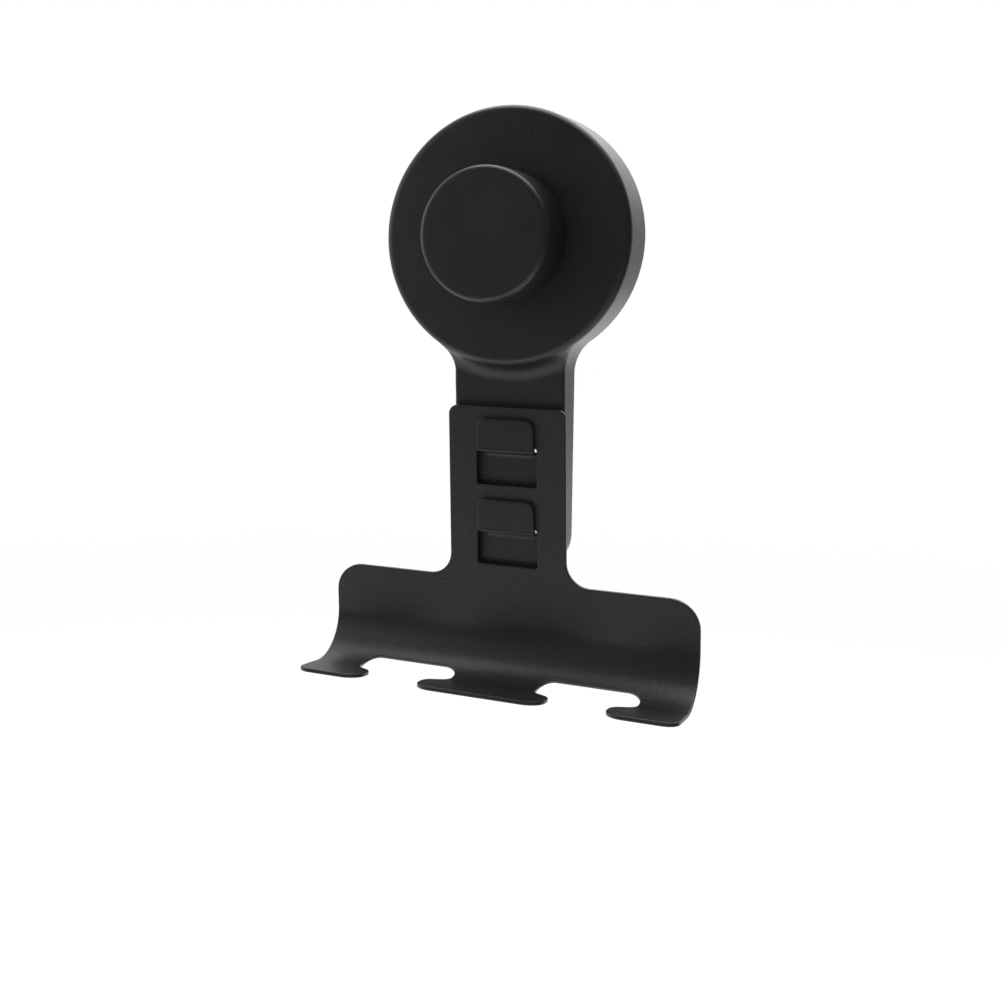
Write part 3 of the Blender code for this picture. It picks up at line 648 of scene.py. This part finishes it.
def slot_corners(middle):
    """Corners of one keyhole slot, from its right lip round its hole to its left lip."""
    mouth = MOUTH_WIDTH / 2
    hole = HOLE_WIDTH / 2
    walk = [(mouth, 0.0, LIP_FRONT_CORNER), (mouth, LIP_DEPTH, LIP_BACK_CORNER),
            (hole, LIP_DEPTH + LIP_RAKE, SLOT_CORNER), (hole, HOLE_REACH, SLOT_CORNER)]
    mirrored = [(-x, back, radius) for x, back, radius in reversed(walk)]
    return [(middle + x, back - PLATE_END, radius) for x, back, radius in walk + mirrored]


def plate_outline():
    """Outline of the sheet before it is folded, its top edge at 0 and its front edge at -PLATE_END."""
    return rounded([
        (-NECK_HALF_WIDTH, 0.0, NECK_CORNER), (NECK_HALF_WIDTH, 0.0, NECK_CORNER),
        (NECK_HALF_WIDTH, -NECK_LENGTH, NECK_FILLET), (WIDE_HALF_WIDTH, -NECK_LENGTH, WIDE_CORNER),
        (WIDE_HALF_WIDTH, -PLATE_END, SHELF_CORNER),
        *slot_corners(SLOT_OFFSET), *slot_corners(-SLOT_OFFSET),
        (-WIDE_HALF_WIDTH, -PLATE_END, SHELF_CORNER), (-WIDE_HALF_WIDTH, -NECK_LENGTH, WIDE_CORNER),
        (-NECK_HALF_WIDTH, -NECK_LENGTH, NECK_FILLET),
    ])


def window_outline(drop):
    """Outline of the window that goes over one hook."""
    half = WINDOW_WIDTH / 2
    top = WINDOW_TOP - drop
    bottom = top - WINDOW_HEIGHT
    return rounded([(-half, bottom, WINDOW_CORNER), (half, bottom, WINDOW_CORNER),
                    (half, top, WINDOW_CORNER), (-half, top, WINDOW_CORNER)])


def fold(x, distance, height):
    """Where a point of the flat sheet goes: its distance down the sheet, its height off the back face."""
    if distance <= BEND_START:
        return Vector((x, -PLATE_GAP - height, -distance))
    angle = min(distance - BEND_START, BEND_END - BEND_START) / BEND_RADIUS
    radius = BEND_RADIUS + SHEET - height
    straight = max(0.0, distance - BEND_END)
    y = -(PLATE_GAP + SHEET + BEND_RADIUS) + radius * math.cos(angle) - straight * math.sin(angle)
    z = -BEND_START - radius * math.sin(angle) - straight * math.cos(angle)
    return Vector((x, y, z))


def fill_between(bm, loops):
    """Fill the flat face whose outer edge and holes are loops of verts."""
    edges = [bm.edges.get((loop[index - 1], corner))
             for loop in loops for index, corner in enumerate(loop)]
    bmesh.ops.triangle_fill(bm, use_beauty=True, use_dissolve=False, edges=edges)


def cut_across_bend(bm):
    """Edges across the flat sheet, close enough together for its bend to look round."""
    for step in range(BEND_STEPS + 1):
        distance = BEND_START + (BEND_END - BEND_START) * step / BEND_STEPS
        bmesh.ops.bisect_plane(bm, geom=bm.verts[:] + bm.edges[:] + bm.faces[:],
                               dist=BEND_CUT_DISTANCE, plane_co=(0.0, 0.0, -distance),
                               plane_no=(0.0, 0.0, 1.0))


def make_plate(finish):
    """Coated sheet: outline and windows with rounded edges, both faces filled, then folded."""
    outlines = [counter_clockwise(plate_outline())]
    outlines += [counter_clockwise(window_outline(drop))[::-1] for drop in HOOK_DROPS]
    bm = bmesh.new()
    steps = edge_steps(SHEET, SHEET_EDGE)
    backs, fronts = [], []
    for outline in outlines:
        rings = [[bm.verts.new((x, height, z)) for x, z in shrunk(outline, inset)]
                 for height, inset in steps]
        add_rings(bm, rings)
        backs.append(rings[0])
        fronts.append(rings[-1])
    bm.edges.index_update()
    fill_between(bm, backs)
    fill_between(bm, fronts)
    cut_across_bend(bm)
    bmesh.ops.triangulate(bm, faces=bm.faces)
    for vert in bm.verts:
        vert.co = fold(vert.co.x, -vert.co.z, vert.co.y)
    bmesh.ops.transform(bm, matrix=face_matrix(), verts=bm.verts)
    plate = finish_mesh("plate_sheet", bm, finish)
    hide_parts("slotted_plate")
    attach(plate, "plate")


def make_knob(finish):
    """Cap with a flat front and a rounded edge."""
    edge = arc((KNOB_RADIUS - KNOB_EDGE, KNOB_FRONT - KNOB_EDGE), KNOB_EDGE, math.pi / 2, 0.0)
    foot = arc((KNOB_RADIUS - KNOB_BACK_EDGE, KNOB_BACK + KNOB_BACK_EDGE), KNOB_BACK_EDGE,
               0.0, -math.pi / 2, EDGE_STEPS)
    inner = KNOB_RADIUS - KNOB_WALL
    ceiling = KNOB_FRONT - KNOB_FACE
    cap = turned("knob_shell", [
        (0.0, KNOB_FRONT), (KNOB_RADIUS - KNOB_EDGE_HOLD, KNOB_FRONT), *edge,
        (KNOB_RADIUS, KNOB_FRONT - KNOB_EDGE_HOLD), (KNOB_RADIUS, KNOB_BACK + KNOB_BACK_HOLD), *foot,
        (inner + KNOB_BACK_EDGE, KNOB_BACK), (inner, KNOB_BACK + KNOB_BACK_EDGE),
        (inner, ceiling - KNOB_BACK_EDGE), (inner - KNOB_BACK_EDGE, ceiling), (0.0, ceiling),
    ], finish)
    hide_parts("knob_cap")
    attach(cap, "knob")


def pad_profile():
    """Outline of the pad's cross-section, (radius, depth), from the axis round its rim and back."""
    edge_radius = PAD_RADIUS - PAD_EDGE
    rim = arc((edge_radius, PAD_EDGE), PAD_EDGE, -math.pi / 2, 0.0, EDGE_STEPS)
    rim += arc((edge_radius, PAD_RIM - PAD_EDGE), PAD_EDGE, 0.0, math.pi / 2, EDGE_STEPS)
    foot = PAD_HUB_RADIUS + PAD_HUB_RAMP
    web = PAD_WEB_RADIUS - PAD_EDGE - foot
    radii = [foot + web * step / PAD_WEB_STEPS for step in range(PAD_WEB_STEPS + 1)]
    return [
        (0.0, 0.0), (PAD_POCKET_RADIUS, 0.0), *[(radius, 0.0) for radius in radii], *rim,
        (PAD_WEB_RADIUS, PAD_RIM), *[(radius, PAD_WEB) for radius in reversed(radii)],
        (PAD_HUB_RADIUS, PAD_WEB + PAD_HUB_RAMP), (PAD_HUB_RADIUS, PAD_FRONT - PAD_EDGE),
        (PAD_HUB_RADIUS - PAD_EDGE, PAD_FRONT), (PAD_LIP_RADIUS, PAD_FRONT),
        (PAD_LIP_RADIUS, PAD_POCKET_FRONT), (PAD_POCKET_RADIUS, PAD_POCKET_FRONT),
        (PAD_POCKET_RADIUS, PAD_POCKET_BACK), (0.0, PAD_POCKET_BACK),
    ]


def make_pad(finish):
    """Soft pad in equal sectors; on the real pad the rim stays with the housing and the middle follows the
    puller.
    """
    profile = pad_profile()
    share = 2 * math.pi / PAD_SEGMENTS
    for index in range(PAD_SEGMENTS):
        middle = share * index
        bm = bmesh.new()
        rings = []
        for step in range(PAD_SEGMENT_STEPS + 1):
            angle = middle + share * (step / PAD_SEGMENT_STEPS - 0.5)
            rings.append([bm.verts.new((radius * math.cos(angle), -depth, radius * math.sin(angle)))
                          for radius, depth in profile])
        add_rings(bm, rings)
        bm.faces.new(rings[0])
        bm.faces.new(rings[-1])
        segment = finish_mesh(f"soft_pad_{index + 1:02d}", bm, finish)
        segment.data.set_sharp_from_angle(angle=PAD_SHARP)
        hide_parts("suction_pad")
        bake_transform(segment)


def make_bumper(finish):
    """Soft strip with rounded ends and edges, in its seat behind the arm's lower end."""
    left, right = BUMPER_LOW.x, BUMPER_HIGH.x
    middle = (BUMPER_LOW.z + BUMPER_HIGH.z) / 2
    half = (BUMPER_HIGH.z - BUMPER_LOW.z) / 2
    radius = half - BUMPER_EDGE / 2
    outline = rounded([(left, middle - half, radius), (right, middle - half, radius),
                       (right, middle + half, radius), (left, middle + half, radius)])
    thickness = BUMPER_HIGH.y - BUMPER_LOW.y
    bm = rounded_slab(outline, -BUMPER_HIGH.y, thickness, BUMPER_EDGE)
    bumper = finish_mesh("bumper_strip", bm, finish)
    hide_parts("wall_bumper")
    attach(bumper, "base")


def feed(tree, target, name, value):
    """Set a node's input to a constant, or link it to a socket."""
    if isinstance(value, bpy.types.NodeSocket):
        tree.links.new(value, target.inputs[name])
    else:
        target.inputs[name].default_value = value


def add_node(tree, kind, inputs, **settings):
    """Shader node with the given settings, its inputs fed with constants or sockets."""
    made = tree.nodes.new("ShaderNode" + kind)
    for name, value in settings.items():
        setattr(made, name, value)
    for name, value in inputs.items():
        feed(tree, made, name, value)
    return made


def own_place(tree):
    """A point's place in the piece's own frame, in metres."""
    return add_node(tree, "TexCoord", {}).outputs["Object"]


def noise(tree, size, detail=2.0, harshness=0.5):
    """Grey noise with blotches of about the given size, in millimetres."""
    inputs = {"Vector": own_place(tree), "Scale": 1.0 / (size * MM), "Detail": detail,
              "Roughness": harshness}
    return add_node(tree, "TexNoise", inputs).outputs["Fac"]


def turning_marks(tree, spacing):
    """Grooves of uneven height round the knob's axis, about the given spacing apart, in millimetres."""
    place = own_place(tree)
    across = add_node(tree, "VectorMath", {0: place, 1: (1.0, 0.0, 1.0)}, operation="MULTIPLY")
    radius = add_node(tree, "VectorMath", {0: across.outputs["Vector"]}, operation="LENGTH")
    along = add_node(tree, "SeparateXYZ", {"Vector": place}).outputs["Y"]
    reach = total(tree, radius.outputs["Value"], along)
    inputs = {"W": reach, "Scale": 1.0 / (spacing * MM), "Detail": 2.0}
    return add_node(tree, "TexNoise", inputs, noise_dimensions="1D").outputs["Fac"]


def specks(tree, spacing, size, share):
    """Small round specks, 1 inside and 0 outside; only a share of the cells, a spacing wide, has one."""
    inputs = {"Vector": own_place(tree), "Scale": 1.0 / (spacing * MM)}
    cells = add_node(tree, "TexVoronoi", inputs)
    reach = size / spacing / 2
    near = add_node(tree, "Math", {0: cells.outputs["Distance"], 1: reach}, operation="LESS_THAN")
    chance = add_node(tree, "SeparateXYZ", {"Vector": cells.outputs["Color"]}).outputs["X"]
    chosen = add_node(tree, "Math", {0: chance, 1: share}, operation="LESS_THAN")
    both = {0: near.outputs["Value"], 1: chosen.outputs["Value"]}
    return add_node(tree, "Math", both, operation="MULTIPLY").outputs["Value"]


def between(tree, value, low, high):
    """Stretch the middle of a noise over the range from low to high."""
    inputs = {"Value": value, "From Min": NOISE_LOW, "From Max": NOISE_HIGH, "To Min": low, "To Max": high}
    return add_node(tree, "MapRange", inputs).outputs["Result"]


def uneven(tree, value, roughness, gloss):
    """Roughness that a noise shifts between the two amounts of a gloss."""
    down, up = gloss
    return between(tree, value, roughness + down, roughness + up)


def total(tree, first, second):
    """Sum of two grey values."""
    return add_node(tree, "Math", {0: first, 1: second}, operation="ADD").outputs["Value"]


def shaded(tree, colour, value, tint):
    """Colour that a noise makes darker and lighter by up to the part that the tint gives."""
    factor = between(tree, value, 1.0 - tint, 1.0 + tint)
    return add_node(tree, "VectorMath", {0: colour, "Scale": factor}, operation="SCALE").outputs["Vector"]


def relief(tree, layers):
    """Normal of a surface with several layers of relief, each (grey value, height in millimetres)."""
    below = {}
    for value, height in layers:
        layer = add_node(tree, "Bump", {"Height": value, "Distance": height * MM, "Strength": 1.0, **below})
        below = {"Normal": layer.outputs["Normal"]}
    return below["Normal"]


def new_finish(name):
    """New material and its node tree."""
    made = bpy.data.materials.new(name)
    made.use_nodes = True
    return made, made.node_tree


def set_surface(tree, inputs):
    """Feed the material's own shader."""
    shader = tree.nodes["Principled BSDF"]
    for name, value in inputs.items():
        feed(tree, shader, name, value)


def moulded_shell(name, colour, roughness):
    """Hard plastic with the finely pitted skin of a spark-eroded mould, its sheen slightly uneven."""
    made, tree = new_finish(name)
    pits = noise(tree, PIT_SIZE, detail=4.0, harshness=0.65)
    sheen = noise(tree, SHEEN_SIZE)
    gloss = total(tree, uneven(tree, pits, roughness, PIT_GLOSS), between(tree, sheen, *SHEEN_GLOSS))
    set_surface(tree, {"Base Color": shaded(tree, colour, sheen, SHEEN_TINT), "Roughness": gloss,
                       "Normal": relief(tree, [(pits, PIT_DEPTH)])})
    return made


def powder_coat(name, colour, roughness):
    """Baked powder coat: shallow orange peel under a fine sandy texture, and a few paler specks."""
    made, tree = new_finish(name)
    peel = noise(tree, PEEL_SIZE, detail=1.0)
    sand = noise(tree, SAND_SIZE, detail=3.0, harshness=0.6)
    speck = specks(tree, SPECK_SPACING, SPECK_SIZE, SPECK_SHARE)
    base = add_node(tree, "MixRGB", {"Fac": speck, "Color1": shaded(tree, colour, sand, SAND_TINT),
                                     "Color2": (*SPECK_COLOUR, 1.0)}).outputs["Color"]
    set_surface(tree, {"Base Color": base, "Roughness": uneven(tree, sand, roughness, SAND_GLOSS),
                       "Normal": relief(tree, [(peel, PEEL_DEPTH), (sand, SAND_DEPTH)])})
    return made


def soft_elastomer(name, colour, roughness):
    """Smooth, faintly translucent elastomer with the turned mould's rings and a dusty bloom."""
    made, tree = new_finish(name)
    marks = turning_marks(tree, MOULD_RING_SPACING)
    bloom = noise(tree, BLOOM_SIZE)
    set_surface(tree, {"Base Color": shaded(tree, colour, bloom, BLOOM_TINT),
                       "Roughness": uneven(tree, bloom, roughness, BLOOM_GLOSS),
                       "Subsurface Weight": SOFT_SCATTER, "Subsurface Scale": MM,
                       "Normal": relief(tree, [(marks, MOULD_RING_DEPTH)])})
    return made


def matte_rubber(name, colour, roughness):
    """Dull rubber with a coarse grain and pale rubbed patches."""
    made, tree = new_finish(name)
    grain = noise(tree, RUBBER_GRAIN, detail=5.0, harshness=0.7)
    patches = noise(tree, PATCH_SIZE)
    set_surface(tree, {"Base Color": shaded(tree, colour, patches, PATCH_TINT),
                       "Roughness": uneven(tree, patches, roughness, PATCH_GLOSS),
                       "Normal": relief(tree, [(grain, RUBBER_DEPTH)])})
    return made


def natural_nylon(name, colour, roughness):
    """Undyed nylon: translucent, with flow clouds from the moulding and a fine skin."""
    made, tree = new_finish(name)
    clouds = noise(tree, CLOUD_SIZE, detail=3.0)
    skin = noise(tree, PIT_SIZE, detail=3.0)
    set_surface(tree, {"Base Color": shaded(tree, colour, clouds, CLOUD_TINT),
                       "Roughness": uneven(tree, clouds, roughness, CLOUD_GLOSS),
                       "Subsurface Weight": NYLON_SCATTER, "Subsurface Scale": MM,
                       "Normal": relief(tree, [(skin, PIT_DEPTH)])})
    return made


def turned_metal(name, colour, roughness, spacing):
    """Machined metal with turning marks round the axis, and a smear of oil that dulls it in places."""
    made, tree = new_finish(name)
    marks = turning_marks(tree, spacing)
    smear = noise(tree, SMEAR_SIZE, detail=3.0)
    gloss = total(tree, uneven(tree, marks, roughness, MARK_GLOSS), between(tree, smear, *SMEAR_GLOSS))
    tangent = add_node(tree, "Tangent", {}, direction_type="RADIAL", axis="Y").outputs["Tangent"]
    set_surface(tree, {"Base Color": shaded(tree, colour, smear, SMEAR_TINT), "Roughness": gloss,
                       "Metallic": 1.0, "Anisotropic": METAL_ANISOTROPY, "Tangent": tangent,
                       "Normal": relief(tree, [(marks, MARK_DEPTH)])})
    return made


def dress_frame(finishes):
    """Give each CAD node that stays its own finish."""
    for name, finish in finishes.items():
        mesh_object = frame["nodes"][name]
        mesh_object.data.materials.clear()
        mesh_object.data.materials.append(finish)


def make_camera():
    """Camera at the photograph's place. Yaw turns it left, pitch down, roll counter-clockwise."""
    yaw, pitch, roll = CAMERA_YAW, CAMERA_PITCH, CAMERA_ROLL
    ahead = Vector((-math.sin(yaw) * math.cos(pitch), math.cos(yaw) * math.cos(pitch), -math.sin(pitch)))
    right = Vector((math.cos(yaw), math.sin(yaw), 0.0))
    above = right.cross(ahead)
    turned_right = math.cos(roll) * right + math.sin(roll) * above
    turned_above = math.cos(roll) * above - math.sin(roll) * right
    data = bpy.data.cameras.new("camera")
    data.sensor_width = SENSOR_WIDTH
    data.lens = FOCAL_PIXELS / PHOTO_SIZE * SENSOR_WIDTH
    data.shift_x = (PHOTO_SIZE / 2 - CENTRE_PIXEL[0]) / PHOTO_SIZE
    data.shift_y = (CENTRE_PIXEL[1] - PHOTO_SIZE / 2) / PHOTO_SIZE
    data.clip_start = CLIP_START_M
    camera = bpy.data.objects.new("camera", data)
    turn = Matrix((turned_right, turned_above, -ahead)).transposed().to_4x4()
    camera.matrix_world = Matrix.Translation(Vector(CAMERA_PLACE) * MM) @ turn
    bpy.context.scene.collection.objects.link(camera)
    bpy.context.scene.camera = camera


def link_studio(made):
    """Add an object that belongs to the studio."""
    bpy.context.scene.collection.objects.link(made)


def make_lamp(name, place, size, power):
    """Soft rectangular lamp that points at the middle of the holder; place and size in metres."""
    data = bpy.data.lights.new(name, "AREA")
    data.shape = "RECTANGLE"
    data.size, data.size_y = size
    data.energy = power
    lamp = bpy.data.objects.new(name, data)
    aim = (Vector(LAMP_TARGET) - Vector(place)).to_track_quat("-Z", "Y")
    lamp.matrix_world = Matrix.Translation(place) @ aim.to_matrix().to_4x4()
    lamp.visible_camera = False
    bpy.context.scene.collection.objects.link(lamp)


def make_world():
    """Even white light from all round."""
    world = bpy.data.worlds.new("studio")
    bpy.context.scene.world = world
    world.use_nodes = True
    background = world.node_tree.nodes["Background"]
    background.inputs["Color"].default_value = (1.0, 1.0, 1.0, 1.0)
    background.inputs["Strength"].default_value = 1.0


def make_sheet(name, corners, finish):
    """Flat sheet between four corners, in metres."""
    mesh = bpy.data.meshes.new(name)
    mesh.from_pydata(corners, [], [(0, 1, 2, 3)])
    mesh.materials.append(finish)
    made = bpy.data.objects.new(name, mesh)
    link_studio(made)
    return made


def matte(name, colour):
    """Dull grey without any gloss."""
    made, tree = new_finish(name)
    grey = (colour, colour, colour, 1.0)
    set_surface(tree, {"Base Color": grey, "Roughness": 1.0, "Specular IOR Level": 0.0})
    return made


def make_card(name, start, end, heights, colour):
    """Upright grey card, from one (x, y) to another, that only shows in reflections."""
    bottom, top = heights
    corners = [(*start, bottom), (*end, bottom), (*end, top), (*start, top)]
    card = make_sheet(name, corners, matte(name + "_grey", colour))
    card.visible_camera = False
    card.visible_diffuse = False
    card.visible_shadow = False


def make_floor_finish():
    """Matte white that keeps the holder's shadow, and turns into the plain white of the world far out."""
    made = matte("floor_white", FLOOR_COLOUR)
    tree = made.node_tree
    place = add_node(tree, "NewGeometry", {}).outputs["Position"]
    distance = add_node(tree, "VectorMath", {0: place}, operation="LENGTH").outputs["Value"]
    fade = {"Value": distance, "From Min": FLOOR_FADE_START, "From Max": FLOOR_FADE_END}
    share = add_node(tree, "MapRange", fade, interpolation_type="SMOOTHSTEP").outputs["Result"]
    near = tree.nodes["Principled BSDF"].outputs["BSDF"]
    far = add_node(tree, "Emission", {}).outputs["Emission"]
    blend = add_node(tree, "MixShader", {0: share, 1: near, 2: far}).outputs["Shader"]
    feed(tree, tree.nodes["Material Output"], "Surface", blend)
    return made


def make_floor():
    """Square floor round the middle of the room."""
    corners = [(x * FLOOR_HALF, y * FLOOR_HALF, FLOOR_HEIGHT)
               for x, y in ((-1, -1), (1, -1), (1, 1), (-1, 1))]
    make_sheet("floor", corners, make_floor_finish())


def make_studio():
    """White floor, white light all round, soft lamps, and cards that darken what the surfaces reflect."""
    make_floor()
    make_card("front_drape", DRAPE_LEFT, DRAPE_RIGHT, DRAPE_HEIGHTS, DRAPE_COLOUR)
    make_card("side_card", SIDE_CARD_NEAR, SIDE_CARD_FAR, SIDE_CARD_HEIGHTS, SIDE_CARD_COLOUR)
    make_card("right_flag", RIGHT_FLAG_LEFT, RIGHT_FLAG_RIGHT, RIGHT_FLAG_HEIGHTS, FLAG_COLOUR)
    make_card("left_flag", LEFT_FLAG_LEFT, LEFT_FLAG_RIGHT, LEFT_FLAG_HEIGHTS, FLAG_COLOUR)
    make_lamp("left_lamp", LEFT_PLACE, LEFT_SIZE, LEFT_POWER)
    make_lamp("top_lamp", TOP_PLACE, TOP_SIZE, TOP_POWER)
    make_lamp("back_high_lamp", BACK_HIGH_PLACE, BACK_SIZE, BACK_POWER)
    make_lamp("back_low_lamp", BACK_LOW_PLACE, BACK_SIZE, BACK_POWER)
    make_world()


def main():
    """Make the finishes, the camera, every visible piece and the studio."""
    shell = moulded_shell("moulded_shell", SHELL_COLOUR, SHELL_ROUGHNESS)
    coat = powder_coat("powder_coat", COAT_COLOUR, COAT_ROUGHNESS)
    soft = soft_elastomer("soft_elastomer", SOFT_COLOUR, SOFT_ROUGHNESS)
    rubber = matte_rubber("matte_rubber", RUBBER_COLOUR, RUBBER_ROUGHNESS)
    nylon = natural_nylon("natural_nylon", NYLON_COLOUR, NYLON_ROUGHNESS)
    steel = turned_metal("turned_steel", STEEL_COLOUR, METAL_ROUGHNESS, STEEL_MARK_SPACING)
    brass = turned_metal("turned_brass", BRASS_COLOUR, METAL_ROUGHNESS, BRASS_MARK_SPACING)

    make_camera()
    make_housing(shell)
    make_knob(shell)
    make_plate(coat)
    make_pad(soft)
    make_bumper(rubber)
    dress_frame({"thrust_washer": nylon, "pull_plate": nylon, "pull_stud": steel, "stop_washer": steel,
                 "stop_screw": steel, "knob_hub": shell, "knob_nut": brass})
    make_studio()
    bpy.context.scene.view_settings.view_transform = "Standard"


main()
